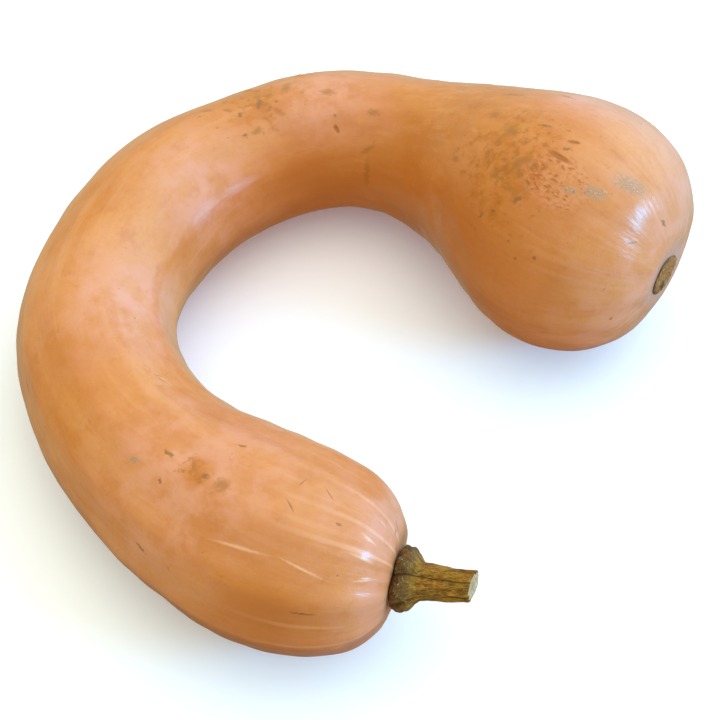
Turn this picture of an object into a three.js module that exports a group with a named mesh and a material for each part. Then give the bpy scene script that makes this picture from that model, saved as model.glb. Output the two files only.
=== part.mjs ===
// A long-necked winter squash, curled into a C and lying on its side as it was picked.
// Millimetres, +Z up. The mouth of the C opens towards +X and the neck runs across the back, at +Y.
// The origin is on the ground, under the middle of the squash's box.
import * as THREE from "three";

// ---- Driving dimensions ----

// The fruit's middle line, from the stem end to the blossom end, as stations [x, y, girth, lift].
// Girth is the radius that the station pulls the fruit towards. Lift is how far the underside clears
// the ground, and is below zero where the fruit's weight has pressed a flat on it.
const STATIONS = [
  [24, -167, 60, -2],
  [-34, -152, 61, -3],
  [-87, -119, 55, -2],
  [-132, -72, 48, -1],
  [-162, -7, 48, -1],
  [-152, 52, 46, -1],
  [-120, 109, 49, -1],
  [-75, 144, 44, 1],
  [-12, 168, 45, 4],
  [47, 151, 44, 4],
  [98, 109, 65, 0],
  [133, 57, 83, -4],
  [185, 21, 80, 1],
];

// The rings across the fruit turn with the run of the middle line over this share of it on each
// side, so they fan evenly where the bulb leans off the neck.
const RING_RUN = 0.07;

// Each end closes in a blunt dome over a share of the middle line, round a flat seat in a dimple.
const STEM_END = { share: 0.165, bluntness: 3.1, seat: 16, rim: 34, depth: 2.5 };
const BLOSSOM_END = { share: 0.15, bluntness: 2.8, seat: 13, rim: 27, depth: 1.2 };

// Shallow ribs run along the fruit. They are plainest at the stem.
const RIBS = 10;
const RIB_AT_STEM = 0.014;
const RIB_ALONG = 0.004;
const RIB_FADE = 0.22;

const FRUIT_SIDES = 50;
const DIMPLE_RINGS = 6;
const DOME_RINGS = 9;
const BODY_RINGS = 38;

// The stem stands on its seat, flares into ribbed feet there, and was cut straight across.
const STEM_LENGTH = 44;
const STEM_RISE_DEG = 16;
const STEM_RIDGES = 5;
const STEM_SIDES = 50;
// The stem's outline as [distance from the seat, radius, ridge height as a share of the radius].
const STEM_OUTLINE = [
  [0, 14.5, 0.04],
  [1.5, 16.3, 0.08],
  [4.5, 17, 0.1],
  [8.5, 16.2, 0.11],
  [11.5, 13.6, 0.1],
  [15, 11.2, 0.09],
  [20, 10.3, 0.08],
  [28, 9.5, 0.08],
  [36, 8.8, 0.07],
  [43, 8.1, 0.06],
  [STEM_LENGTH, 7.2, 0.04],
];

// The blossom's scar is a low corky button.
const SCAR_HEIGHT = 2.6;
const SCAR_SIDES = 30;
// Its outline as [distance from the seat, radius].
const SCAR_OUTLINE = [
  [0, 10.6],
  [0.7, 11.8],
  [1.7, 11.6],
  [2.3, 9.4],
  [SCAR_HEIGHT, 5],
];

// A hair's breadth between the grown-together pieces keeps them separate solids.
const GAP = 0.3;

const SKIN_COLOUR = 0xd19a66;
const STEM_COLOUR = 0x7d6130;
const CORK_COLOUR = 0x9a6f45;

// ---- The middle line ----

// A uniform cubic B-spline through the stations' pulls, with each end station mirrored outwards so
// that the curve starts and stops right on the end stations. Returns { point, girth } at u in 0..1.
function middleLine(u) {
  const last = STATIONS.length - 1;
  const pull = (k) => {
    if (k < 0) return STATIONS[0].map((v, c) => 2 * v - STATIONS[1][c]);
    if (k > last) return STATIONS[last].map((v, c) => 2 * v - STATIONS[last - 1][c]);
    return STATIONS[k];
  };
  const along = THREE.MathUtils.clamp(u, 0, 1) * last;
  const first = Math.min(Math.floor(along), last - 1);
  const t = along - first;
  const weights = [
    (1 - t) ** 3,
    3 * t ** 3 - 6 * t ** 2 + 4,
    -3 * t ** 3 + 3 * t ** 2 + 3 * t + 1,
    t ** 3,
  ];
  const [x, y, girth, lift] = [0, 1, 2, 3].map((c) =>
    weights.reduce((sum, w, k) => sum + (w * pull(first - 1 + k)[c]) / 6, 0),
  );
  return { point: new THREE.Vector3(x, y, girth + lift), girth };
}

// The frame across the middle line: along it, level towards the inside of the C, and up.
function crossFrame(u) {
  const ahead = middleLine(u + RING_RUN).point;
  const behind = middleLine(u - RING_RUN).point;
  const along = ahead.sub(behind).normalize();
  const inward = new THREE.Vector3().crossVectors(along, new THREE.Vector3(0, 0, 1)).normalize();
  const up = new THREE.Vector3().crossVectors(inward, along);
  return { along, inward, up };
}

// ---- Closed surfaces ----

// A closed solid skinned over rings of points, with a fan of faces to a pole at each end.
function skin(rings, firstPole, lastPole) {
  const sides = rings[0].length;
  const points = [...rings.flat(), firstPole, lastPole];
  const atFirstPole = points.length - 2;
  const atLastPole = points.length - 1;
  const lastRing = (rings.length - 1) * sides;
  const faces = [];
  for (let j = 0; j < sides; j += 1) {
    const next = (j + 1) % sides;
    faces.push(atFirstPole, j, next);
    faces.push(atLastPole, lastRing + next, lastRing + j);
    for (let i = 0; i + 1 < rings.length; i += 1) {
      const here = i * sides;
      const there = here + sides;
      faces.push(here + j, there + j, there + next);
      faces.push(here + j, there + next, here + next);
    }
  }
  const geometry = new THREE.BufferGeometry().setFromPoints(points);
  geometry.setIndex(faces);
  geometry.computeVertexNormals();
  return geometry;
}

// A ring of points about a centre, with its radius given at each angle.
function ringAbout(centre, side, up, sides, radiusAt) {
  return Array.from({ length: sides }, (_, j) => {
    const angle = (2 * Math.PI * j) / sides;
    const radius = radiusAt(angle);
    return centre
      .clone()
      .addScaledVector(side, radius * Math.cos(angle))
      .addScaledVector(up, radius * Math.sin(angle));
  });
}

// ---- The fruit ----

// The seat at one end: its middle, the way it faces, and the two directions across it.
function seatOf(end, u) {
  const { along, inward, up } = crossFrame(u);
  const facing = u < 0.5 ? along.clone().negate() : along;
  const middle = middleLine(u).point.addScaledVector(facing, -end.depth);
  return { middle, facing, inward, up };
}

const stemSeat = seatOf(STEM_END, 0);
const blossomSeat = seatOf(BLOSSOM_END, 1);

// A dome's profile is the superellipse reach^n + width^n = 1, with n its bluntness: width is the share of
// the girth, and reach the share of the dome's length that is left before the full girth.
const domeReach = (end, width) => (1 - width ** end.bluntness) ** (1 / end.bluntness);

// The rings of one end, from the pole out, as { reach, width }: even steps of width over the dimple,
// then even steps of angle over the rest of the dome.
function domeRings(end, girth) {
  const rimWidth = end.rim / girth;
  const rimAngle = Math.atan2(rimWidth, domeReach(end, rimWidth));
  const overDimple = Array.from({ length: DIMPLE_RINGS }, (_, k) => {
    const width = (rimWidth * (k + 1)) / DIMPLE_RINGS;
    return { reach: domeReach(end, width), width };
  });
  const overDome = Array.from({ length: DOME_RINGS }, (_, k) => {
    const angle = THREE.MathUtils.lerp(rimAngle, Math.PI / 2, (k + 1) / DOME_RINGS);
    const [reach, width] = [Math.cos(angle), Math.sin(angle)];
    const size = (reach ** end.bluntness + width ** end.bluntness) ** (1 / end.bluntness);
    return { reach: reach / size, width: width / size };
  });
  return [...overDimple, ...overDome];
}

// Where each ring of the fruit lies: { u, width }.
function fruitRings() {
  const stemDome = domeRings(STEM_END, STATIONS[0][2]).map(({ reach, width }) => ({
    u: STEM_END.share * (1 - reach),
    width,
  }));
  const blossomDome = domeRings(BLOSSOM_END, STATIONS.at(-1)[2]).map(({ reach, width }) => ({
    u: 1 - BLOSSOM_END.share * (1 - reach),
    width,
  }));
  const body = Array.from({ length: BODY_RINGS }, (_, k) => ({
    u: THREE.MathUtils.lerp(STEM_END.share, 1 - BLOSSOM_END.share, (k + 1) / (BODY_RINGS + 1)),
    width: 1,
  }));
  return [...stemDome, ...body, ...blossomDome.reverse()];
}

function fruitGeometry() {
  const rings = fruitRings().map(({ u, width }) => {
    const { point, girth } = middleLine(u);
    const { inward, up } = crossFrame(u);
    const ribHeight = RIB_ALONG + RIB_AT_STEM * Math.exp(-u / RIB_FADE);
    const radiusAt = (angle) => girth * width * (1 + ribHeight * Math.cos(RIBS * angle));
    const ring = ringAbout(point, inward, up, FRUIT_SIDES, radiusAt);

    // Inside the dimple the skin dips to the flat seat, and on the ground it is pressed flat.
    const end = u < 0.5 ? STEM_END : BLOSSOM_END;
    const seat = u < 0.5 ? stemSeat : blossomSeat;
    const dip = 1 - THREE.MathUtils.smoothstep(girth * width, end.seat, end.rim);
    return ring.map((p) => {
      const above = p.clone().sub(seat.middle).dot(seat.facing);
      p.addScaledVector(seat.facing, -dip * above);
      p.z = Math.max(p.z, 0);
      return p;
    });
  });
  return skin(rings, stemSeat.middle, blossomSeat.middle);
}

// ---- The stem and the blossom scar ----

// The stem leaves its seat square, then leans up.
function stemGeometry() {
  const { middle, facing } = stemSeat;
  const root = middle.clone().addScaledVector(facing, GAP);
  const rise = THREE.MathUtils.degToRad(STEM_RISE_DEG);
  const leaning = facing.clone().multiplyScalar(Math.cos(rise));
  leaning.z += Math.sin(rise);
  const knee = root.clone().addScaledVector(facing, STEM_LENGTH / 3);
  const tip = root.clone().addScaledVector(leaning, STEM_LENGTH);
  const axis = new THREE.QuadraticBezierCurve3(root, knee, tip);

  const rings = STEM_OUTLINE.map(([distance, radius, ridge]) => {
    const v = distance / STEM_LENGTH;
    const along = axis.getTangentAt(v);
    const side = new THREE.Vector3().crossVectors(new THREE.Vector3(0, 0, 1), along).normalize();
    const up = new THREE.Vector3().crossVectors(along, side);
    const radiusAt = (angle) => radius * (1 + ridge * Math.cos(STEM_RIDGES * (angle - Math.PI / 2)));
    return ringAbout(axis.getPointAt(v), side, up, STEM_SIDES, radiusAt).reverse();
  });
  return skin(rings, axis.getPointAt(0), axis.getPointAt(1));
}

function scarGeometry() {
  const { middle, facing, inward, up } = blossomSeat;
  const rings = SCAR_OUTLINE.map(([distance, radius]) => {
    const centre = middle.clone().addScaledVector(facing, GAP + distance);
    return ringAbout(centre, inward, up, SCAR_SIDES, () => radius);
  });
  const base = middle.clone().addScaledVector(facing, GAP);
  const top = middle.clone().addScaledVector(facing, GAP + SCAR_HEIGHT);
  return skin(rings, base, top);
}

// ---- The squash ----

function piece(name, geometry, color, roughness) {
  const mesh = new THREE.Mesh(
    geometry,
    new THREE.MeshStandardMaterial({ color, roughness, metalness: 0 }),
  );
  mesh.name = name;
  return mesh;
}

const squash = new THREE.Group();
squash.add(
  piece("fruit", fruitGeometry(), SKIN_COLOUR, 0.45),
  piece("stem", stemGeometry(), STEM_COLOUR, 0.8),
  piece("blossom_scar", scarGeometry(), CORK_COLOUR, 0.85),
);

// The stations are laid out about the middle of the box by eye, and this settles it exactly.
const box = new THREE.Box3().setFromObject(squash);
const middle = box.getCenter(new THREE.Vector3());
for (const mesh of squash.children) {
  mesh.position.set(-middle.x, -middle.y, -box.min.z);
}

export default squash;
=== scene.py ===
"""A long-necked winter squash on a white table, curled into a C and lying on its side.

Three pieces take the place of the plain solids: the skin of the fruit, the woody stem and the corky
scar of the blossom. They follow the same middle line as the solids. Places are worked out in
millimetres, with +Z up, and turned into metres when a mesh is made.
"""
import math

import bpy
import numpy as np
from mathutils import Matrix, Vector


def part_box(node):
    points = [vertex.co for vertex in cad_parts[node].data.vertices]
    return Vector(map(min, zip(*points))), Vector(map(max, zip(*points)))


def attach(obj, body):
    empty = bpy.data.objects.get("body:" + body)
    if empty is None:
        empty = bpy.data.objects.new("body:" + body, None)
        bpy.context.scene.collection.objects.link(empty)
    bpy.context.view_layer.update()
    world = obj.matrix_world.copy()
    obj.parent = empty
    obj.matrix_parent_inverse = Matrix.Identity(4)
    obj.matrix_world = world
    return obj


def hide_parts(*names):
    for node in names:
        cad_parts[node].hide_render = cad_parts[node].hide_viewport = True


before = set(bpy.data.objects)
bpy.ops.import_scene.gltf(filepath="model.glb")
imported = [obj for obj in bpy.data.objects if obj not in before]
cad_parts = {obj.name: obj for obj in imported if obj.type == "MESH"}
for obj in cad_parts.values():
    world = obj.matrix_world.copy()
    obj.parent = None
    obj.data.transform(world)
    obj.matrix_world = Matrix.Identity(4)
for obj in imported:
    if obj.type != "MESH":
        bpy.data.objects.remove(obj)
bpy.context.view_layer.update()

MM = 0.001

# ---- Driving dimensions of the fruit, as its solid has them ----

# The middle line from the stem end to the blossom end, as stations [x, y, girth, lift]. The girth is
# half the thickness there, and the middle's height is the girth plus the lift.
STATIONS = np.array([
    [24, -167, 60, -2],
    [-34, -152, 61, -3],
    [-87, -119, 55, -2],
    [-132, -72, 48, -1],
    [-162, -7, 48, -1],
    [-152, 52, 46, -1],
    [-120, 109, 49, -1],
    [-75, 144, 44, 1],
    [-12, 168, 45, 4],
    [47, 151, 44, 4],
    [98, 109, 65, 0],
    [133, 57, 83, -4],
    [185, 21, 80, 1],
], dtype=float)
# A ring's direction is taken over this much of u each way, so that rings don't cross in the bends.
RING_RUN = 0.07
# Each end's dome: its share of the middle line and the exponent of its superellipse, then the radius
# of its flat seat, the radius where the dimple round the seat begins, and the seat's depth.
STEM_END = {"share": 0.165, "bluntness": 3.1, "seat": 16, "rim": 34, "depth": 2.5}
BLOSSOM_END = {"share": 0.15, "bluntness": 2.8, "seat": 13, "rim": 27, "depth": 1.2}
# The ribs: their number, their height as a share of the radius at the stem end and all along, and the
# share of the middle line over which the stem end's height falls off.
RIBS = 10
RIB_AT_STEM = 0.014
RIB_ALONG = 0.004
RIB_FADE = 0.22

# The skin's grid: points round each ring, rings over each end's dome, and rings between the domes.
SKIN_SIDES = 256
DOME_RINGS = 60
BODY_RINGS = 260

# The skin's unevenness, as [height, wavelength, seed] of each field of ripples.
SKIN_RIPPLES = [[0.3, 75, 3], [0.16, 24, 4]]
# Soft ribs on the skin by the stem: their height, how fast they fade along the fruit, and how their
# crests wander, as [angle, length, start] of each sway.
CREST_HEIGHT = 0.3
CREST_FADE = 160
CREST_SWAYS = [[0.063, 47, 0], [0.035, 19, 2]]
# All this grows from nothing to full between these distances from the seats and the ground.
CALM_BY_STEM = (14, 24)
CALM_BY_BLOSSOM = (12, 20)
CALM_BY_GROUND = (0, 6)

# The stem: its length, how far it leans up, its radius at the root and what that loses on each
# millimetre, and how far it twists on each.
STEM_LENGTH = 44
STEM_RISE = math.radians(16)
STEM_RADIUS = 11
STEM_TAPER = 0.07
STEM_TWIST = 0.006
# Its foot: how much it adds to the radius, between which distances it swells, between which it ends,
# and between which the root's edge is rounded.
FOOT_SPREAD = 6.6
FOOT_SWELLS = (-6, 4)
FOOT_ENDS = (6, 16.5)
ROOT_EDGE = (-3, 1.2)
# Its ridges: their number, the depth between them as a share of the radius and what the foot adds to
# it, how blunt they are and the mean that goes with that, and how they are turned and sway.
STEM_RIDGES = 5
RIDGE_DEPTH = 0.13
FOOT_RIDGE_DEPTH = 0.15
RIDGE_BLUNTNESS = 0.7
RIDGE_MEAN = 0.72
RIDGE_TURN = 0.17 - math.pi / 2
RIDGE_SWAY = 0.12
RIDGE_SWAY_LENGTH = 9
# Its furrows and its foot's knobs, as [height, wavelength, seed]. The furrows are drawn out along the
# stem this many times.
FIBRE_STRETCH = 7
FIBRE_RIPPLES = [[0.34, 4.2, 11], [0.14, 1.9, 12]]
KNOB_RIPPLES = [[0.42, 7.5, 13], [0.1, 2.8, 14]]
# Its cut end: how far the rim is worn in and over what length, how unevenly, how deep and how slanting
# it is cut, and the length over which the slant begins.
RIM_WEAR = 0.6
RIM_RUN = 0.9
CUT_RIPPLES = [[0.14, 5, 15]]
CUT_SINK = 0.7
CUT_SLANT = (0.1, 0.25)
CUT_RUN = 6
STEM_SIDES = 320
STEM_RINGS = 190

# The blossom's scar: its radius and height, its unevenness, and the knob off its middle.
SCAR_RADIUS = 12.6
SCAR_HEIGHT = 0.9
SCAR_EDGE_RIPPLES = [[0.05, 6, 21]]
SCAR_RIPPLES = [[0.22, 4, 22], [0.12, 1.7, 23]]
SCAR_KNOB = {"place": (4, -5), "reach": 3, "height": 1.6}
SCAR_SIDES = 160

# The hair's breadth between the stem or the scar and its seat.
GAP = 0.3

# ---- Marks on the skin ----

# Each mark is [along, angle, half length, half width, turn]. Along is the distance from the stem end
# on the middle line. The angle goes round the fruit: 0 faces the inside of the C, 90 is on top and
# 180 faces out. The turn is how far the mark's length swings from along to round.
MARKS = {
    "soft_spot": [
        [420, 110, 4, 2, -40], [430, 100, 3, 2, -65], [470, 105, 6, 3, 65], [460, 80, 4, 2, -60],
        [440, 70, 4, 2, 10], [495, 90, 5, 2.5, -10], [530, 70, 4, 2.5, 0], [655, 75, 8, 4, -10],
        [635, 80, 5, 3, 0], [675, 65, 6, 3, 45], [630, 100, 7, 2, 10], [630, 50, 3, 2, 0],
        [90, 100, 5, 3.5, 0], [530, 40, 5, 1.6, 40], [530, 20, 10, 1.8, 90],
    ],
    "bruise": [
        [610, 85, 9, 4.5, 0], [680, 55, 7, 3, 10], [655, 55, 5, 3, -20], [675, 45, 4, 2, 60],
    ],
    "scab": [
        [435, 90, 2.5, 1.5, 70], [450, 95, 5, 1.5, 65], [430, 70, 2, 1.5, -15], [630, 110, 2, 1, 0],
        [660, 110, 5, 1.2, 5], [670, 85, 5, 1, 20], [690, 80, 4, 1.2, 30], [745, 90, 2.5, 1.5, 20],
        [740, 60, 3, 0.8, 30], [685, 50, 3, 1.5, 60], [675, 40, 2, 1, 0], [670, 35, 3, 0.8, 60],
        [125, 100, 4, 1.5, 5], [120, 115, 2, 1, -40], [100, 100, 2.5, 1.5, 10], [95, 75, 2.5, 1, 10],
        [30, 95, 2, 1, -10], [115, 155, 4, 1, -15], [225, 155, 5, 1, -5], [35, 150, 7, 0.8, 0],
    ],
    "scurf": [
        [715, 70, 7, 3.5, 20], [705, 65, 5, 2, 25], [725, 85, 11, 5, 25], [140, 115, 3, 2, 20],
    ],
    "groove": [[690, 75, 8.5, 1.9, 0], [500, 55, 3, 1.3, -65], [690, 85, 4, 1.3, 25]],
    "cream_scar": [
        [70, 125, 16, 1.1, 7], [40, 125, 13, 0.9, -12], [15, 95, 6, 0.9, -10], [15, 110, 8, 0.9, -5],
        [12, 125, 7, 0.7, 10],
    ],
    "scratch": [
        [180, 65, 3, 0.45, 55], [175, 65, 4, 0.45, 25], [55, 95, 5, 0.6, -40], [55, 80, 3.5, 0.4, 70],
        [40, 80, 5, 0.4, -35], [5, 60, 5, 0.6, -25], [5, 70, 3, 0.7, -75],
    ],
    "pimple": [[450, 125, 3, 2.6, 0], [480, 125, 3.5, 2.8, 15], [20, 185, 3.5, 2.8, -30]],
}
# Where the skin is worn and blotched, where it is pitted, where a pink bloom lies on it that is partly
# painted sheen on lit parts, and where painted shade deepens its orange, as [along, angle, reach].
WORN_PLACES = [[668, 62, 40], [450, 98, 23], [105, 100, 12]]
PITTED_PLACES = [[700, 65, 14], [690, 65, 12]]
BLOOM_AND_SHEEN_PLACES = [
    [755, 60, 75], [0, 90, 70], [110, 105, 55], [255, 60, 45], [380, 55, 40], [490, 85, 34],
    [670, 112, 26],
]
PAINTED_SHADE_PLACES = [[480, -5, 45], [575, 0, 50], [660, 20, 55], [50, 155, 35], [0, 125, 28]]
# How far each kind of mark stands up, and the least half width that its relief has.
MARK_RELIEF = {
    "scab": (0.2, 2),
    "scurf": (0.25, 2),
    "groove": (-0.6, 1.8),
    "cream_scar": (0.3, 1.6),
    "scratch": (-0.35, 1.8),
    "pimple": (1.4, 2.6),
}
# Round each mark, its own frame holds over this margin, and this far into and out of the skin. A
# point beside no mark is said to be this many half sizes away.
MARK_MARGIN = 3.2
MARK_DEPTH = 9
FAR = 30.0
# A mark's axes are measured over these steps of u and of degrees.
MARK_STEPS = (0.002, 1)


# ---- Small helpers on whole arrays ----

def unit(vectors):
    """Each vector divided by its length."""
    return vectors / np.linalg.norm(vectors, axis=-1, keepdims=True)


def smoothstep(x, low, high):
    """0 below low, 1 above high, and 3t^2 - 2t^3 between them."""
    t = np.clip((x - low) / (high - low), 0, 1)
    return t * t * (3 - 2 * t)


def ripples(points, wavelength, seed, waves=24):
    """A smooth uneven field of about unit size: the sum over scattered directions d, of about unit
    length, of sin(2 pi p.d / wavelength + phase)."""
    chance = np.random.default_rng(seed)
    directions = unit(chance.normal(size=(waves, 3))) * chance.uniform(0.6, 1.6, (waves, 1))
    phases = chance.uniform(0, 2 * np.pi, waves)
    turns = np.tensordot(points, directions, axes=(-1, 1)) * (2 * np.pi / wavelength) + phases
    return np.sin(turns).sum(-1) * math.sqrt(2 / waves)


def rippled(points, fields):
    """The sum of fields of ripples, each given as [height, wavelength, seed]."""
    return sum(height * ripples(points, wavelength, seed) for height, wavelength, seed in fields)


def round_trip(sides):
    """Even steps of angle once round, without the last."""
    return np.linspace(0, 2 * np.pi, sides, endpoint=False)


# ---- The fruit's surface ----

def middle_line(u):
    """The points and girths at u in 0..1: a uniform cubic B-spline pulled by the stations, with each
    end's next station mirrored beyond it, so that the line begins and ends on a station."""
    last = len(STATIONS) - 1
    pulls = np.vstack([2 * STATIONS[0] - STATIONS[1], STATIONS, 2 * STATIONS[-1] - STATIONS[-2]])
    along = np.clip(np.asarray(u, dtype=float), 0, 1) * last
    first = np.minimum(along.astype(int), last - 1)
    t = (along - first)[..., None]
    weights = [(1 - t) ** 3, 3 * t ** 3 - 6 * t ** 2 + 4, -3 * t ** 3 + 3 * t ** 2 + 3 * t + 1, t ** 3]
    station = sum(weight * pulls[first + k] for k, weight in enumerate(weights)) / 6
    x, y, girth, lift = np.moveaxis(station, -1, 0)
    return np.stack([x, y, girth + lift], -1), girth


def cross_frame(u):
    """Across the middle line at u: the direction along it, level inwards, and up."""
    ahead = middle_line(u + RING_RUN)[0]
    behind = middle_line(u - RING_RUN)[0]
    along = unit(ahead - behind)
    inward = unit(np.cross(along, (0, 0, 1)))
    return along, inward, np.cross(inward, along)


def seat_of(end, u):
    """The flat seat at one end: its middle and the way it faces."""
    along = cross_frame(np.array(u))[0]
    facing = -along if u < 0.5 else along
    return middle_line(u)[0] - end["depth"] * facing, facing


STEM_SEAT = seat_of(STEM_END, 0.0)
BLOSSOM_SEAT = seat_of(BLOSSOM_END, 1.0)
LINE_U = np.linspace(0, 1, 1501)
LINE_STEPS = np.linalg.norm(np.diff(middle_line(LINE_U)[0], axis=0), axis=1)
LINE_MM = np.concatenate([[0], np.cumsum(LINE_STEPS)])


def dome_width(end, reach):
    """A dome's width where its reach is left: the superellipse reach^n + width^n = 1."""
    return (1 - np.clip(reach, 0, 1) ** end["bluntness"]) ** (1 / end["bluntness"])


def fruit_surface(u, angle):
    """Points on the fruit at u along it and at an angle round it, with the solid's own form: the
    middle line's point + radius (1 + rib cos(ribs angle)) (cos(angle) inward + sin(angle) up), where
    the radius is the girth times both domes' widths. Round each seat it is pressed onto the seat's
    plane, and underneath onto the ground."""
    point, girth = middle_line(u)
    _, inward, up = cross_frame(u)
    to_stem = 1 - u / STEM_END["share"]
    to_blossom = 1 - (1 - u) / BLOSSOM_END["share"]
    radius = girth * dome_width(STEM_END, to_stem) * dome_width(BLOSSOM_END, to_blossom)
    rib = RIB_ALONG + RIB_AT_STEM * np.exp(-u / RIB_FADE)
    ribbed = (radius * (1 + rib * np.cos(RIBS * angle)))[..., None]
    points = point + ribbed * (np.cos(angle)[..., None] * inward + np.sin(angle)[..., None] * up)
    for end, (middle, facing), near in (
        (STEM_END, STEM_SEAT, u < 0.5),
        (BLOSSOM_END, BLOSSOM_SEAT, u >= 0.5),
    ):
        dip = (1 - smoothstep(radius, end["seat"], end["rim"])) * near
        above = (points - middle) @ facing
        points = points - (dip * above)[..., None] * facing
    points[..., 2] = np.maximum(points[..., 2], 0)
    return points


def frame_shift():
    """From the stations' own origin to the frame's: it brings the form's box onto the solid's."""
    angle = np.linspace(0, 2 * np.pi, 360)[None, :]
    u = LINE_U[1:-1:4, None]
    form = fruit_surface(u + 0 * angle, angle + 0 * u)
    own_middle = (form.min(axis=(0, 1)) + form.max(axis=(0, 1))) / 2
    low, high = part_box("fruit")
    shift = np.array((low + high) / 2) / MM - own_middle
    return np.array([shift[0], shift[1], 0])


SHIFT = frame_shift()


def ring_places():
    """u for each ring: even steps of polar angle over the domes and even steps of u between them."""
    polar = np.linspace(0, np.pi / 2, DOME_RINGS + 1)[1:]
    spans = []
    for end in (STEM_END, BLOSSOM_END):
        n = end["bluntness"]
        reach = np.cos(polar) / (np.cos(polar) ** n + np.sin(polar) ** n) ** (1 / n)
        spans.append(end["share"] * (1 - reach))
    body = np.linspace(STEM_END["share"], 1 - BLOSSOM_END["share"], BODY_RINGS + 2)[1:-1]
    return np.concatenate([spans[0], body, 1 - spans[1][::-1]])


def grid_normals(points):
    """Outward normals of a grid whose first axis runs along and whose second goes round."""
    along = np.gradient(points, axis=0)
    around = np.roll(points, -1, axis=1) - np.roll(points, 1, axis=1)
    return unit(np.cross(along, around))


class Mark:
    """A mark's place on the skin: its middle, its turned axes and its half sizes, in millimetres."""

    def __init__(self, along, angle, half_length, half_width, turn):
        u = np.interp(along, LINE_MM, LINE_U)
        places = np.array([u, u + MARK_STEPS[0], u])
        angles = np.radians([angle, angle, angle + MARK_STEPS[1]])
        self.middle, ahead, beside = fruit_surface(places, angles)
        lengthways = unit(ahead - self.middle)
        normal = unit(np.cross(lengthways, beside - self.middle))
        sideways = np.cross(normal, lengthways)
        swing = math.radians(turn)
        self.axes = np.array([
            math.cos(swing) * lengthways + math.sin(swing) * sideways,
            math.cos(swing) * sideways - math.sin(swing) * lengthways,
            normal,
        ])
        self.half = np.array([half_length, half_width])

    def local(self, points):
        """The points in the mark's own frame: lengthways, sideways and outwards."""
        return (points - self.middle) @ self.axes.T


def relief(points, marks, height, least_half):
    """A raised or sunk dome over each mark, height (1 - q^2)^2, where q is 1 on the mark's outline."""
    total = np.zeros(points.shape[:-1])
    for mark in marks:
        local = mark.local(points)
        half = np.maximum(mark.half, least_half)
        q = np.linalg.norm(local[..., :2] / half, axis=-1)
        total += height * np.clip(1 - q ** 2, 0, 1) ** 2 * (np.abs(local[..., 2]) < MARK_DEPTH)
    return total


def closeness(points, places):
    """1 at the nearest of the places, falling off with the distance d as exp(-(d / reach)^2)."""
    near = np.zeros(points.shape[:-1])
    for along, angle, reach in places:
        distance = np.linalg.norm(points - Mark(along, angle, 1, 1, 0).middle, axis=-1)
        near = np.maximum(near, np.exp(-((distance / reach) ** 2)))
    return near


def mark_layers(points, marks):
    """Each point's place (x, y, 0) in the frame of the mark beside it, in the mark's half sizes, and
    (0, 0, FAR) elsewhere. Marks whose surroundings would meet go into different layers. A material
    then finds the distance to a mark as the length of such a place."""
    layers = []
    for mark in marks:
        local = mark.local(points)
        reach = np.abs(local) - np.append(mark.half, MARK_DEPTH - MARK_MARGIN)
        beside = (reach < MARK_MARGIN).all(axis=-1)
        around = (reach < 2 * MARK_MARGIN).all(axis=-1)
        free = [layer for layer in layers if not (layer["taken"] & around).any()]
        if not free:
            layers.append({"taken": np.zeros_like(beside), "places": np.zeros_like(points) + (0, 0, FAR)})
            free = layers[-1:]
        free[0]["taken"] |= beside
        free[0]["places"][beside, :2] = local[beside][:, :2] / mark.half
        free[0]["places"][beside, 2] = 0
    return [layer["places"] for layer in layers]


def fruit_mesh_data():
    """The skin's grid: the fruit's surface, moved along its normals by the sum of the ripples, the
    soft ribs H exp(-along / F) (|crest| - 1/2) and the marks' relief, all calmed by the seats and the
    ground. The attributes steer the skin's colours."""
    u = ring_places()[:, None] + np.zeros(SKIN_SIDES)
    angle = round_trip(SKIN_SIDES) + np.zeros_like(u)
    points = fruit_surface(u, angle)
    normals = grid_normals(points)
    along = np.interp(u, LINE_U, LINE_MM)
    girth = middle_line(u)[1]

    wander = sum(sway * np.sin(along / length + start) for sway, length, start in CREST_SWAYS)
    crest = np.cos(RIBS * (angle + wander))
    lift = rippled(points, SKIN_RIPPLES)
    lift += CREST_HEIGHT * np.exp(-along / CREST_FADE) * (np.abs(crest) - 0.5)
    marks = {kind: [Mark(*row) for row in rows] for kind, rows in MARKS.items()}
    for kind, (height, least_half) in MARK_RELIEF.items():
        lift += relief(points, marks[kind], height, least_half)

    from_stem = np.linalg.norm(points - STEM_SEAT[0], axis=-1)
    from_blossom = np.linalg.norm(points - BLOSSOM_SEAT[0], axis=-1)
    lift *= smoothstep(from_stem, *CALM_BY_STEM) * smoothstep(from_blossom, *CALM_BY_BLOSSOM)
    lift *= smoothstep(points[..., 2], *CALM_BY_GROUND)
    points = points + lift[..., None] * normals
    points[..., 2] = np.maximum(points[..., 2], 0)
    straight = np.stack([along, girth * np.cos(angle), girth * np.sin(angle)], -1)
    attributes = {"straight": straight * MM, "along": along * MM, "crest": crest}
    attributes["worn"] = closeness(points, WORN_PLACES)
    attributes["pitted"] = closeness(points, PITTED_PLACES)
    attributes["bloom"] = closeness(points, BLOOM_AND_SHEEN_PLACES)
    attributes["deep"] = closeness(points, PAINTED_SHADE_PLACES)
    for kind, group in marks.items():
        for number, places in enumerate(mark_layers(points, group)):
            attributes[f"{kind}_{number}"] = places
    return points, attributes


# ---- Meshes ----

def to_metres(points):
    """Millimetres from the stations' own origin, as metres in the frame."""
    return (points + SHIFT) * MM


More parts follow.
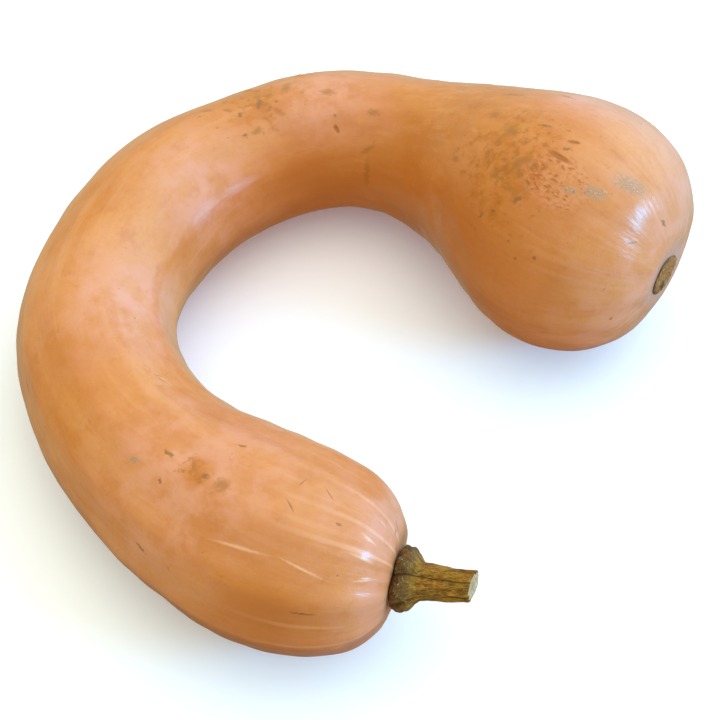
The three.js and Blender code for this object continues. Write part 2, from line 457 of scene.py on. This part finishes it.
def grid_object(name, points, poles, attributes):
    """A closed mesh over a grid of rings, with a fan of faces to a pole at each end."""
    rings, sides = points.shape[:2]
    vertices = np.vstack([points.reshape(-1, 3), *poles])
    here = np.arange(sides)
    there = np.roll(here, -1)
    starts = (np.arange(rings - 1) * sides)[:, None]
    quads = np.stack([starts + here, starts + sides + here, starts + sides + there, starts + there], -1)
    last = (rings - 1) * sides
    first_fan = np.stack([np.full(sides, rings * sides), here, there], -1)
    last_fan = np.stack([np.full(sides, rings * sides + 1), last + there, last + here], -1)
    faces = quads.reshape(-1, 4).tolist() + first_fan.tolist() + last_fan.tolist()
    mesh = bpy.data.meshes.new(name)
    mesh.from_pydata(to_metres(vertices), [], faces)
    for title, values in attributes.items():
        add_attribute(mesh, title, values)
    mesh.shade_smooth()
    mesh.update()
    piece = bpy.data.objects.new(name, mesh)
    bpy.context.scene.collection.objects.link(piece)
    return piece


def add_attribute(mesh, title, values):
    """A point attribute from a grid of numbers or vectors. The poles take their ring's mean."""
    kind = "FLOAT_VECTOR" if values.ndim == 3 else "FLOAT"
    poles = [values[0].mean(axis=0), values[-1].mean(axis=0)]
    flat = np.concatenate([values.reshape(-1, *values.shape[2:]), poles])
    layer = mesh.attributes.new(title, kind, "POINT")
    layer.data.foreach_set("vector" if values.ndim == 3 else "value", flat.astype(np.float32).ravel())


# ---- Stem and scar ----

def stem_axis(v):
    """The stem's axis at the share v of its length: a quadratic Bezier curve from the root by a knee
    a third of the way out to the tip, which leaves the seat square and then leans up. Returns points
    and the directions along, sideways and up."""
    middle, facing = STEM_SEAT
    root = middle + GAP * facing
    leaning = math.cos(STEM_RISE) * facing + math.sin(STEM_RISE) * np.array([0, 0, 1])
    knee = root + facing * STEM_LENGTH / 3
    tip = root + leaning * STEM_LENGTH
    t = (np.sqrt(1 + 3 * v) - 1)[..., None]
    points = (1 - t) ** 2 * root + 2 * t * (1 - t) * knee + t ** 2 * tip
    along = unit((1 - t) * (knee - root) + t * (tip - knee))
    side = unit(np.cross((0, 0, 1), along))
    return points, along, side, np.cross(along, side)


def stem_mesh_data():
    """The stem's grid: rings from the root's middle out, along the side, and over the cut end to its
    middle. At the distance d from the root the radius is R - taper d, and more on the foot. That is
    multiplied by 1 + depth (|cos(ridges / 2 angle)|^bluntness - mean) for the ridges. Ripples drawn
    out along it make the furrows, and others the foot's knobs."""
    root = np.linspace(0.2, 1, 8)[:-1]
    end = np.linspace(1, 0.04, 24)[1:]
    share = np.concatenate([root, np.ones(STEM_RINGS), end])[:, None]
    run = np.concatenate([0 * root, np.linspace(0, 1, STEM_RINGS), 0 * end + 1])[:, None]
    distance = run * STEM_LENGTH
    angle = -round_trip(STEM_SIDES)[None, :]
    twist = angle + STEM_TWIST * distance
    foot = 1 - smoothstep(distance, *FOOT_ENDS)
    plain = STEM_RADIUS - STEM_TAPER * distance
    plain = plain + FOOT_SPREAD * foot * smoothstep(distance, *FOOT_SWELLS)

    turned = twist + RIDGE_TURN + RIDGE_SWAY * np.sin(distance / RIDGE_SWAY_LENGTH)
    lobes = np.abs(np.cos(STEM_RIDGES / 2 * turned)) ** RIDGE_BLUNTNESS
    radius = plain * (1 + (RIDGE_DEPTH + FOOT_RIDGE_DEPTH * foot) * (lobes - RIDGE_MEAN))
    fibres = np.stack([distance / FIBRE_STRETCH + 0 * angle, 10 * np.cos(twist), 10 * np.sin(twist)], -1)
    knobs = np.stack([distance + 0 * angle, plain * np.cos(angle), plain * np.sin(angle)], -1)
    radius += (1 - 0.6 * foot) * rippled(fibres, FIBRE_RIPPLES)
    radius += foot * rippled(knobs, KNOB_RIPPLES)
    radius -= RIM_WEAR * smoothstep(distance, STEM_LENGTH - RIM_RUN, STEM_LENGTH)
    radius *= smoothstep(distance, *ROOT_EDGE)

    # The cut is slanted a little, uneven, and hollow in its middle.
    centre, along, side, up = stem_axis(run)
    ring = np.cos(angle)[..., None] * side + np.sin(angle)[..., None] * up
    points = centre + (radius * share)[..., None] * ring
    ragged = rippled(knobs, CUT_RIPPLES) - CUT_SINK * (1 - share) ** 0.5 * (share < 1)
    slanted = radius * share * (CUT_SLANT[0] * np.cos(angle) + CUT_SLANT[1] * np.sin(angle))
    by_cut = smoothstep(distance, STEM_LENGTH - CUT_RUN, STEM_LENGTH)
    points += ((ragged + slanted) * by_cut)[..., None] * along
    cut = smoothstep(1 - share, 0.02, 0.12) * (distance > STEM_LENGTH / 2)
    grain = np.stack([distance + 0 * angle, 9 * np.cos(twist), 9 * np.sin(twist)], -1)
    return points, {"grain": grain * MM, "cut": cut + 0 * angle, "furrow": lobes}


def scar_mesh_data():
    """The scar's grid: rings from the middle of its underside out, up its wall, and over its top to
    the middle. Its outline's radius is R (1 + ripples). Its top is sunk in the middle, crumpled, and
    has a knob h exp(-(d / reach)^2) at the distance d from the knob's place."""
    middle, facing = BLOSSOM_SEAT
    _, inward, up = cross_frame(np.array(1.0))
    under = np.array([0.3, 0.6, 0.85])
    wall = np.linspace(0, 1, 8)
    top = np.linspace(0.985, 0.03, 60)
    share = np.concatenate([under, 0 * wall + 1, top])[:, None]
    rise = np.concatenate([0 * under, wall, 0 * top + 1])[:, None]
    angle = round_trip(SCAR_SIDES)[None, :]
    edge = np.stack([3 * np.cos(angle), 3 * np.sin(angle), 0 * angle], -1)
    radius = SCAR_RADIUS * (1 + rippled(edge, SCAR_EDGE_RIPPLES)) * (1 - 0.12 * rise ** 2)
    flat = (radius * share)[..., None] * np.stack([np.cos(angle), np.sin(angle)], -1)
    knob_distance = np.linalg.norm(flat - np.array(SCAR_KNOB["place"]), axis=-1)
    knob = np.exp(-((knob_distance / SCAR_KNOB["reach"]) ** 2))
    crumple = np.concatenate([flat, 0 * flat[..., :1]], -1)
    height = GAP + SCAR_HEIGHT * rise * (0.45 + 0.55 * smoothstep(share, 0.2, 0.9))
    height = height + rise * (SCAR_KNOB["height"] * knob + rippled(crumple, SCAR_RIPPLES))
    points = middle + flat[..., :1] * inward + flat[..., 1:] * up + height[..., None] * facing
    return points, {"knob": knob}


# ---- Materials ----

def colour(red, green, blue):
    """A shader colour from the usual 0 to 255 display values."""
    return tuple(((c / 255 + 0.055) / 1.055) ** 2.4 for c in (red, green, blue)) + (1.0,)


# The skin's orange and peach patches, its deeper and paler tones, the deeper one also used as painted
# shade, its pink bloom, also used as painted sheen, its cream lines, also used as painted highlights
# on the ribs, and the ring round its scar.
ORANGE = colour(196, 119, 50)
PEACH = colour(206, 137, 78)
DEEP_ORANGE_AND_SHADE = colour(182, 102, 30)
PALE = colour(212, 149, 104)
BLOOM_AND_SHEEN = colour(211, 146, 122)
CREAM_AND_HIGHLIGHT = colour(234, 188, 156)
SCAR_RING = colour(186, 143, 132)
# The marks and pits on it.
SCAB = colour(128, 84, 40)
SOFT_SPOT = colour(155, 96, 33)
BROWNED = colour(178, 98, 10)
SCURF_GREY = colour(168, 130, 104)
SCURF_PALE = colour(214, 184, 158)
PIT = colour(164, 82, 0)
OCHRE = colour(164, 88, 0)
CRACK = colour(84, 56, 34)
# The stem's wood: its body, its foot, and its cut face.
STEM_DARK = colour(140, 100, 28)
STEM_OCHRE = colour(200, 148, 50)
STEM_STRAW = colour(220, 176, 92)
STEM_UMBER_AND_SHADE = colour(66, 46, 14)
STEM_OLIVE = colour(88, 58, 16)
STEM_RUST = colour(150, 88, 26)
STEM_GREY_AND_GLINT = colour(186, 178, 166)
CUT_FACE = colour(252, 224, 182)
CUT_SHADE = colour(204, 162, 112)
# The scar's cork.
CORK_TAN = colour(178, 124, 60)
CORK_BROWN = colour(134, 86, 36)
CORK_DARK = colour(78, 50, 24)

# How fine each pattern of the skin is: the scale of its noise, per metre.
FINENESS = {
    "broad": 9,
    "crowding": 22,
    "patches": 26,
    "bloom": 60,
    "gaps": 60,
    "specks": 75,
    "clouds": 80,
    "blotches": 95,
    "wax": 110,
    "streaks": 130,
    "waves": 160,
    "stains": 190,
    "mottle": 330,
    "ragged edge": 420,
    "pits": 450,
    "crumbs": 560,
    "fine edge": 900,
    "pores": 900,
}
# The same for the stem's wood and the scar's cork.
WOOD_FINENESS = {"blotches": 160, "strands": 420, "face": 500, "crust": 600, "fibres": 1200}
CORK_FINENESS = {"blotches": 150, "grain": 500}


class Finish:
    """A material's nodes, with one short call for each kind that is used here."""

    def __init__(self, name):
        self.material = bpy.data.materials.new(name)
        self.material.use_nodes = True
        self.tree = self.material.node_tree
        self.shader = self.tree.nodes["Principled BSDF"]
        self.place = self.add("ShaderNodeTexCoord").outputs["Object"]

    def add(self, kind, inputs=None, **settings):
        """A node of a kind, with its settings, and its inputs given as values or as sockets."""
        made = self.tree.nodes.new(kind)
        for name, value in settings.items():
            setattr(made, name, value)
        for socket, value in (inputs or {}).items():
            self.feed(made.inputs[socket], value)
        return made

    def feed(self, socket, value):
        """Links another node's socket to this one, or sets its value."""
        if isinstance(value, bpy.types.NodeSocket):
            self.tree.links.new(value, socket)
        else:
            socket.default_value = value

    def attribute(self, title, output="Fac"):
        """One of the mesh's own attributes."""
        return self.add("ShaderNodeAttribute", attribute_name=title).outputs[output]

    def noise(self, vector, scale, detail=2.0, roughness=0.5, output="Fac"):
        """Noise of a scale per metre."""
        inputs = {"Vector": vector, "Scale": scale, "Detail": detail, "Roughness": roughness}
        return self.add("ShaderNodeTexNoise", inputs).outputs[output]

    def reckon(self, operation, *values):
        """A sum, product or other operation on numbers."""
        made = self.add("ShaderNodeMath", dict(enumerate(values)), operation=operation)
        return made.outputs["Value"]

    def reckon_vector(self, operation, *values, output="Vector"):
        """The same on vectors."""
        made = self.add("ShaderNodeVectorMath", dict(enumerate(values)), operation=operation)
        return made.outputs[output]

    def drawn_out(self, vector, share):
        """A place whose first axis is shortened to a share, which draws its pattern out that way."""
        return self.reckon_vector("MULTIPLY", vector, (share, 1, 1))

    def ramp(self, value, low, high, start=0.0, end=1.0):
        """Start at low, end at high, and a smooth step between them."""
        inputs = {"Value": value, "From Min": low, "From Max": high, "To Min": start, "To Max": end}
        return self.add("ShaderNodeMapRange", inputs, interpolation_type="SMOOTHSTEP").outputs["Result"]

    def mix(self, share, first, second):
        """The first colour, with a share of the second laid over it."""
        return self.add("ShaderNodeMix", {0: share, 6: first, 7: second}, data_type="RGBA").outputs[2]

    def nearest(self, layers, ragged):
        """The distance to the nearest mark in the layers: 0 at its middle, 1 on its outline. Ragged
        is a noise vector that makes the outline uneven."""
        least = FAR
        for title in layers:
            moved = self.reckon_vector("ADD", self.attribute(title, "Vector"), ragged)
            least = self.reckon("MINIMUM", least, self.reckon_vector("LENGTH", moved, output="Value"))
        return least

    def distance_from(self, point):
        """The distance in metres from a point given in millimetres."""
        return self.reckon_vector("DISTANCE", self.place, to_metres(point), output="Value")

    def shake(self, scale, reach):
        """A noise vector of up to about half the reach each way."""
        colours = self.noise(self.place, scale, detail=3, output="Color")
        return self.reckon_vector("MULTIPLY_ADD", colours, (reach,) * 3, (-reach / 2,) * 3)

    def bump(self, height, metres):
        """The normal of a surface with a height, in steps of so many metres."""
        return self.add("ShaderNodeBump", {"Height": height, "Distance": metres}).outputs["Normal"]

    def finish(self, inputs):
        """Feeds the shader's sockets by name and returns the material."""
        for name, value in inputs.items():
            self.feed(self.shader.inputs[name], value)
        return self.material


def rind_tones(skin, straight, clouds):
    """Orange and peach in soft patches, clouds over them, and streaks drawn out along the fruit."""
    patches = skin.noise(skin.drawn_out(straight, 0.45), FINENESS["patches"], detail=4, roughness=0.55)
    broad = skin.noise(skin.place, FINENESS["broad"], detail=2)
    streaks = skin.noise(skin.drawn_out(straight, 0.1), FINENESS["streaks"], detail=3, roughness=0.6)
    mottle = skin.noise(skin.place, FINENESS["mottle"], detail=3, roughness=0.65)
    base = skin.mix(skin.ramp(patches, 0.36, 0.66), ORANGE, PEACH)
    base = skin.mix(skin.ramp(broad, 0.42, 0.65, 0, 0.5), base, DEEP_ORANGE_AND_SHADE)
    base = skin.mix(skin.ramp(clouds, 0.5, 0.7, 0, 0.5), base, PEACH)
    base = skin.mix(skin.ramp(clouds, 0.48, 0.3, 0, 0.5), base, DEEP_ORANGE_AND_SHADE)
    base = skin.mix(skin.ramp(streaks, 0.52, 0.72, 0, 0.4), base, PALE)
    base = skin.mix(skin.ramp(streaks, 0.46, 0.3, 0, 0.3), base, DEEP_ORANGE_AND_SHADE)
    return skin.mix(skin.ramp(mottle, 0.45, 0.75, 0, 0.25), base, DEEP_ORANGE_AND_SHADE)


def bloom_sheen_and_shade(skin, base, worn):
    """A pink bloom, uneven and thin on the worn places, which also paints sheen on lit parts, and
    painted shade, a deeper orange, in other places.
    """
    film = skin.noise(skin.place, FINENESS["bloom"], detail=4, roughness=0.6)
    # The bloom's places also paint sheen on lit parts; the film breaks it up.
    bloom = skin.reckon("MULTIPLY", skin.ramp(film, 0.37, 0.62, 0.35, 1), skin.attribute("bloom"))
    bloom = skin.reckon("MULTIPLY", bloom, skin.ramp(worn, 0.9, 0.3, 0.2, 1))
    base = skin.mix(bloom, base, BLOOM_AND_SHEEN)
    # Painted shade: the orange deepens on the flanks facing into the C and on the stem end's front.
    return skin.mix(skin.reckon("MULTIPLY", skin.attribute("deep"), 0.8), base, DEEP_ORANGE_AND_SHADE)


def crest_highlights(skin, base, straight):
    """Painted highlights: pale broken lines along the ribs' crests near the stem."""
    # Painted highlights on the crests of the ribs by the stem.
    line = skin.ramp(skin.reckon("ABSOLUTE", skin.attribute("crest")), 0.93, 1.0)
    near_stem = skin.ramp(skin.attribute("along"), 0.08, 0.0, 0, 0.35)
    gaps = skin.noise(skin.drawn_out(straight, 0.12), FINENESS["gaps"], detail=2)
    lines = skin.reckon("MULTIPLY", skin.reckon("MULTIPLY", line, near_stem), skin.ramp(gaps, 0.44, 0.62))
    return skin.mix(lines, base, CREAM_AND_HIGHLIGHT)


def wear(skin, base, worn):
    """Brown and olive blotches and small specks, thickest in the worn places."""
    blotches = skin.noise(skin.place, FINENESS["blotches"], detail=5, roughness=0.65)
    blotches = skin.reckon("MULTIPLY_ADD", worn, 0.26, blotches)
    stains = skin.noise(skin.place, FINENESS["stains"], detail=3, roughness=0.55)
    stains = skin.reckon("MULTIPLY_ADD", worn, 0.22, stains)
    base = skin.mix(skin.reckon("MULTIPLY", worn, 0.3), base, DEEP_ORANGE_AND_SHADE)
    base = skin.mix(skin.ramp(blotches, 0.62, 0.86, 0, 0.95), base, BROWNED)
    base = skin.mix(skin.ramp(stains, 0.68, 0.88, 0, 0.8), base, SOFT_SPOT)
    cells = skin.add("ShaderNodeTexVoronoi", {"Vector": skin.place, "Scale": FINENESS["specks"]})
    crowding = skin.noise(skin.place, FINENESS["crowding"], detail=1)
    crowding = skin.reckon("MULTIPLY_ADD", worn, 0.08, crowding)
    speck_size = skin.ramp(crowding, 0.5, 0.7, 0, 0.09)
    speck = skin.reckon("LESS_THAN", cells.outputs["Distance"], speck_size)
    return skin.mix(skin.reckon("MULTIPLY", speck, 0.6), base, SCAB)


def pits(skin, base, straight):
    """Small pits with pale lips in the pitted places. Returns the colour and how deep they are."""
    pitted = skin.attribute("pitted")
    holes = skin.noise(skin.drawn_out(straight, 0.9), FINENESS["pits"], detail=1, roughness=0.5)
    holes = skin.reckon("MULTIPLY_ADD", pitted, 0.1, holes)
    here = skin.ramp(pitted, 0.1, 0.5)
    depth = skin.reckon("MULTIPLY", skin.ramp(holes, 0.62, 0.78), here)
    lips = skin.reckon("MULTIPLY", skin.ramp(holes, 0.55, 0.42, 0, 0.32), here)
    base = skin.mix(lips, base, BLOOM_AND_SHEEN)
    return skin.mix(skin.reckon("MULTIPLY", depth, 0.65), base, PIT), depth


def marks_of_growth(skin, base, attributes):
    """The marks, with their outlines broken up. Returns the colour, the distance to the nearest
    groove, and where scurf lies."""
    layers = {kind: [title for title in attributes if title.startswith(kind)] for kind in MARKS}
    fine = skin.shake(FINENESS["fine edge"], 0.8)
    ragged = skin.shake(FINENESS["ragged edge"], 1.8)
    crumbs = skin.noise(skin.place, FINENESS["crumbs"], detail=4, roughness=0.7)
    rough_edge = skin.reckon("MULTIPLY_ADD", crumbs, 2.6, -1.3)
    spots = skin.nearest(layers["soft_spot"], ragged)
    bruises = skin.reckon("ADD", skin.nearest(layers["bruise"], ragged), rough_edge)
    scabs = skin.reckon("ADD", skin.nearest(layers["scab"], ragged), rough_edge)
    scurf = skin.nearest(layers["scurf"], ragged)
    grooves = skin.nearest(layers["groove"], fine)
    creams = skin.nearest(layers["cream_scar"], fine)
    scratches = skin.nearest(layers["scratch"], fine)
    base = skin.mix(skin.ramp(spots, 1.6, 0.2, 0, 0.75), base, SOFT_SPOT)
    base = skin.mix(skin.ramp(bruises, 1.5, 0.2, 0, 0.6), base, BROWNED)
    base = skin.mix(skin.ramp(scurf, 1.6, 0.3, 0, 0.65), base, SCURF_GREY)
    scurf_here = skin.reckon("MULTIPLY", skin.ramp(scurf, 1.3, 0.6), skin.ramp(crumbs, 0.46, 0.62))
    base = skin.mix(skin.reckon("MULTIPLY", scurf_here, 0.35), base, SCURF_PALE)
    base = skin.mix(skin.ramp(grooves, 1.3, 0.6, 0, 1), base, OCHRE)
    base = skin.mix(skin.ramp(creams, 1.3, 0.0, 0, 0.65), base, CREAM_AND_HIGHLIGHT)
    base = skin.mix(skin.ramp(scabs, 1.3, 0.4, 0, 0.8), base, SCAB)
    base = skin.mix(skin.ramp(scratches, 1.2, 0.3, 0, 0.55), base, CRACK)
    return base, grooves, scurf_here


def skin_material(attributes):
    """Waxy tan skin: its tones, with painted shade on some flanks, its bloom, which is partly painted
    sheen, its lines, which are painted highlights on the ribs by the stem, its wear and marks, and a
    pale ring round the scar. Pores, grooves, pits and scurf are bumps under a coat of wax that is a
    little uneven itself."""
    skin = Finish("squash_skin")
    straight = skin.attribute("straight", "Vector")
    worn = skin.attribute("worn")
    clouds = skin.noise(skin.drawn_out(straight, 0.6), FINENESS["clouds"], detail=5, roughness=0.62)
    base = rind_tones(skin, straight, clouds)
    base = bloom_sheen_and_shade(skin, base, worn)
    base = crest_highlights(skin, base, straight)
    base = wear(skin, base, worn)
    base, pit_depth = pits(skin, base, straight)
    base, grooves, scurf_here = marks_of_growth(skin, base, attributes)
    ring = skin.ramp(skin.distance_from(BLOSSOM_SEAT[0]), 0.028, 0.014, 0, 0.7)
    base = skin.mix(ring, base, SCAR_RING)

    pores = skin.noise(skin.place, FINENESS["pores"], detail=2)
    waves = skin.noise(skin.drawn_out(straight, 0.2), FINENESS["waves"], detail=2)
    height = skin.reckon("MULTIPLY_ADD", waves, 3.0, pores)
    height = skin.reckon("SUBTRACT", height, skin.ramp(grooves, 1.4, 0.3, 0, 4))
    height = skin.reckon("MULTIPLY_ADD", pit_depth, -3.0, height)
    height = skin.reckon("MULTIPLY_ADD", scurf_here, 2.0, height)
    wax = skin.noise(skin.drawn_out(straight, 0.45), FINENESS["wax"], detail=4, roughness=0.6)
    return skin.finish({
        "Base Color": base,
        "Roughness": skin.ramp(clouds, 0.3, 0.7, 0.46, 0.36),
        "Normal": skin.bump(height, 0.00012),
        "Coat Normal": skin.bump(wax, 0.0007),
        "Specular IOR Level": 0.15,
        "Sheen Weight": 0.08,
        "Sheen Roughness": 0.4,
        "Sheen Tint": (0.85, 0.9, 1.0, 1),
        "Coat Weight": 0.8,
        "Coat Roughness": 0.26,
    })


def stem_material():
    """Dry, fibrous wood: ochre with straw and dark fibres, furrows darkened with painted shade, an olive
    foot with rusty crusts and grey crusts that are partly painted glints, and a cream cut face."""
    wood = Finish("squash_stem")
    grain = wood.attribute("grain", "Vector")
    furrow = wood.attribute("furrow")
    cut = wood.attribute("cut")
    drawn = wood.drawn_out(grain, 0.3)
    fibres = wood.noise(drawn, WOOD_FINENESS["fibres"], detail=4, roughness=0.65)
    strands = wood.noise(drawn, WOOD_FINENESS["strands"], detail=3)
    blotches = wood.noise(wood.place, WOOD_FINENESS["blotches"], detail=3)
    crust = wood.noise(wood.place, WOOD_FINENESS["crust"], detail=4, roughness=0.7)
    chalk = wood.noise(wood.place, WOOD_FINENESS["face"], detail=3)

    foot = wood.ramp(wood.add("ShaderNodeSeparateXYZ", {0: grain}).outputs["X"], 0.016, 0.007)
    base = wood.mix(wood.ramp(strands, 0.35, 0.65), STEM_DARK, STEM_OCHRE)
    base = wood.mix(wood.ramp(fibres, 0.5, 0.64, 0, 0.6), base, STEM_STRAW)
    base = wood.mix(wood.ramp(fibres, 0.46, 0.37, 0, 0.6), base, STEM_UMBER_AND_SHADE)
    base = wood.mix(wood.reckon("MULTIPLY", foot, 0.8), base, STEM_OLIVE)
    base = wood.mix(wood.ramp(blotches, 0.5, 0.65, 0, 0.5), base, STEM_RUST)
    rusty = wood.reckon("MULTIPLY", wood.ramp(crust, 0.46, 0.4), foot)
    base = wood.mix(wood.reckon("MULTIPLY", rusty, 0.6), base, STEM_RUST)
    # Painted shade: the furrows between the ridges are darkened.
    base = wood.mix(wood.ramp(furrow, 0.35, 0.02, 0, 0.85), base, STEM_UMBER_AND_SHADE)
    # Grey crusts on the foot's knobs, partly painted glints.
    grey_crust_and_glints = wood.reckon("MULTIPLY", wood.ramp(crust, 0.58, 0.66), foot)
    base = wood.mix(wood.reckon("MULTIPLY", grey_crust_and_glints, 0.7), base, STEM_GREY_AND_GLINT)
    face = wood.mix(wood.ramp(chalk, 0.45, 0.7, 0, 0.5), CUT_FACE, CUT_SHADE)
    base = wood.mix(wood.ramp(cut, 0.3, 0.6), base, face)

    height = wood.reckon("MULTIPLY_ADD", fibres, 2.0, strands)
    height = wood.reckon("MULTIPLY_ADD", crust, 0.8, height)
    normal = wood.bump(height, 0.002)
    roughness = wood.ramp(crust, 0.3, 0.7, 0.25, 0.55)
    return wood.finish({
        "Base Color": base,
        "Roughness": roughness,
        "Specular IOR Level": 0.3,
        "Normal": normal,
    })


def scar_material():
    """Cork: tan with a dark rim, fine cracks and a darker knob."""
    cork = Finish("squash_scar")
    knob = cork.attribute("knob")
    grainy = cork.noise(cork.place, CORK_FINENESS["grain"], detail=4, roughness=0.65)
    blotches = cork.noise(cork.place, CORK_FINENESS["blotches"], detail=2)
    base = cork.mix(cork.ramp(grainy, 0.38, 0.66), CORK_BROWN, CORK_TAN)
    base = cork.mix(cork.ramp(blotches, 0.5, 0.68, 0, 0.6), base, CORK_BROWN)
    base = cork.mix(cork.ramp(knob, 0.15, 0.7, 0, 0.9), base, CORK_DARK)
    rim = cork.ramp(cork.distance_from(BLOSSOM_SEAT[0]), 0.0108, 0.0125, 0, 0.7)
    base = cork.mix(rim, base, CORK_DARK)
    normal = cork.bump(grainy, 0.0008)
    return cork.finish({"Base Color": base, "Roughness": 0.75, "Normal": normal})


# ---- The squash ----

def end_middles(points):
    """The middles of a grid's first and last rings."""
    return points[0].mean(axis=0), points[-1].mean(axis=0)


def add_squash():
    """Makes the three pieces, each in the place of its solid."""
    skin_points, skin_attributes = fruit_mesh_data()
    stem_points, stem_attributes = stem_mesh_data()
    scar_points, scar_attributes = scar_mesh_data()
    seats = (STEM_SEAT[0], BLOSSOM_SEAT[0])
    skin = grid_object("squash_skin", skin_points, seats, skin_attributes)
    stem = grid_object("squash_stem", stem_points, end_middles(stem_points), stem_attributes)
    scar = grid_object("squash_scar", scar_points, end_middles(scar_points), scar_attributes)
    for piece, node, slot, material in (
        (skin, "fruit", "rind", skin_material(skin_attributes)),
        (stem, "stem", "woody_stem", stem_material()),
        (scar, "blossom_scar", "cork", scar_material()),
    ):
        piece.data.materials.append(material)
        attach(piece, "root")
        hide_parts(node)


# ---- Table, light and camera ----

# The white table top, with a faint glow that whitens it. Only the camera sees it.
TABLE_HALF = 40.0
TABLE_WHITE = (0.88, 0.92, 1, 1)
TABLE_GLEAM = (0.0, 0.3, 1, 1)
TABLE_GLEAM_STRENGTH = 0.12
# The plane just under it that lights the squash from below, which the camera doesn't see: the share of
# its light that it throws back, in which the squash's shadow lies, and its own glow.
BOUNCE_HALF = 4.0
BOUNCE_DROP = 0.0005
BOUNCE_SHARE = (0.5, 0.25, 0.1, 1)
BOUNCE_GLOW = (0.6, 0.72, 0.7, 1)
# The glows of the surround: [towards, from, to, light]. Each is nothing where the direction's share
# towards its axis is "from", and full where it is "to".
SURROUND = [
    [(0, 0, 1), 0.0, 0.3, (0.42, 0.48, 0.18)],  # the room above the table
    [(0, 0, 1), 0.4, 1.0, (0.9, 1.03, 1.15)],  # the ceiling
    [(1, 0, 0), 0.2, 1.0, (0.5, 0.52, 0.45)],  # the bright side
    [(0.87, 0, 0.5), 0.5, 1.0, (0.28, 0.27, 0.27)],  # the bright side's upper part
    [(0, 1, 0), 0.2, 1.0, (0.62, 0.61, 0.4)],  # the wall behind
    [(0.69, 0.67, 0.28), 0.5, 1.0, (0.05, 0.46, 1.15)],  # the sky through a far window
    [(-1, 0, 0), 0.2, 1.0, (0.31, 0.33, 0.22)],  # the dim side
]
# The soft box overhead, and the low wide window to the right.
OVERHEAD = {
    "place": (0.1, 0.25, 2.2),
    "target": (0, 0, 0),
    "size": (2.2, 2),
    "watts": 13,
    "tint": (1.0, 0.38, 0.13),
}
WINDOW = {
    "place": (1.7, -0.48, 0.62),
    "target": (0, 0, 0.08),
    "size": (0.65, 0.4),
    "watts": 28,
    "tint": (0.08, 0.5, 1.0),
}
# The camera looks down at this place in the stations' millimetres, from this far away in metres.
CAMERA_TARGET = (3, -16, 45)
CAMERA_DISTANCE = 0.9
CAMERA_RISE = math.radians(55)
CAMERA_LENS = 75
CAMERA_SENSOR = 36


def add_plane(name, half, height, inputs):
    """A level square plane, each side twice half, with a plain material."""
    mesh = bpy.data.meshes.new(name)
    corners = [(-half, -half, height), (half, -half, height), (half, half, height), (-half, half, height)]
    mesh.from_pydata(corners, [], [(0, 1, 2, 3)])
    plane = bpy.data.objects.new(name, mesh)
    bpy.context.scene.collection.objects.link(plane)
    mesh.materials.append(Finish(name).finish(inputs))
    return plane


def add_floor():
    """The white table top, level with the squash's rest, and the plane under it that stands for it in
    the light."""
    top = add_plane("table_top", TABLE_HALF, 0.0, {
        "Base Color": TABLE_WHITE,
        "Roughness": 0.9,
        "Specular IOR Level": 0.0,
        "Emission Color": TABLE_GLEAM,
        "Emission Strength": TABLE_GLEAM_STRENGTH,
    })
    top.visible_diffuse = False
    top.visible_glossy = False
    top.visible_shadow = False
    bounce = add_plane("table_glow", BOUNCE_HALF, -BOUNCE_DROP, {
        "Base Color": BOUNCE_SHARE,
        "Roughness": 1,
        "Specular IOR Level": 0.0,
        "Emission Color": BOUNCE_GLOW,
        "Emission Strength": 1,
    })
    bounce.visible_camera = False
    bounce.visible_glossy = False


def add_area_light(name, place, target, size, watts, tint):
    """A soft box at a place, turned to a target."""
    light = bpy.data.lights.new(name, "AREA")
    light.shape = "RECTANGLE"
    light.size, light.size_y = size
    light.energy = watts
    light.color = tint
    box = bpy.data.objects.new(name, light)
    box.location = place
    box.rotation_euler = (Vector(place) - Vector(target)).to_track_quat("Z", "Y").to_euler()
    bpy.context.scene.collection.objects.link(box)
    return box


def add_surround():
    """The light all round: the sum of the SURROUND's glows, light * smooth step of direction.axis."""
    world = bpy.data.worlds.new("surround")
    world.use_nodes = True
    nodes = world.node_tree.nodes
    links = world.node_tree.links
    direction = nodes.new("ShaderNodeTexCoord").outputs["Generated"]
    total = None
    for axis, low, high, light in SURROUND:
        towards = nodes.new("ShaderNodeVectorMath")
        towards.operation = "DOT_PRODUCT"
        towards.inputs[1].default_value = Vector(axis).normalized()
        links.new(direction, towards.inputs[0])
        share = nodes.new("ShaderNodeMapRange")
        share.interpolation_type = "SMOOTHSTEP"
        share.inputs["From Min"].default_value = low
        share.inputs["From Max"].default_value = high
        links.new(towards.outputs["Value"], share.inputs["Value"])
        glow = nodes.new("ShaderNodeVectorMath")
        glow.operation = "SCALE"
        glow.inputs[0].default_value = light
        links.new(share.outputs["Result"], glow.inputs["Scale"])
        if total is not None:
            both = nodes.new("ShaderNodeVectorMath")
            links.new(total, both.inputs[0])
            links.new(glow.outputs["Vector"], both.inputs[1])
            glow = both
        total = glow.outputs["Vector"]
    links.new(total, nodes["Background"].inputs["Color"])
    bpy.context.scene.world = world


def add_lights():
    """The surround, the soft box overhead, which no highlight shows, and the window."""
    add_surround()
    overhead = add_area_light("overhead", **OVERHEAD)
    overhead.visible_glossy = False
    add_area_light("window", **WINDOW)


def add_camera():
    """Looks down at the squash from the front."""
    target = Vector(to_metres(np.array(CAMERA_TARGET)))
    camera = bpy.data.objects.new("camera", bpy.data.cameras.new("camera"))
    camera.data.lens = CAMERA_LENS
    camera.data.sensor_width = CAMERA_SENSOR
    back = Vector((0, -math.cos(CAMERA_RISE), math.sin(CAMERA_RISE)))
    camera.location = target + back * CAMERA_DISTANCE
    camera.rotation_euler = (math.pi / 2 - CAMERA_RISE, 0, 0)
    bpy.context.scene.collection.objects.link(camera)
    bpy.context.scene.camera = camera


add_camera()
add_floor()
add_lights()
add_squash()
bpy.context.scene.view_settings.view_transform = "Standard"
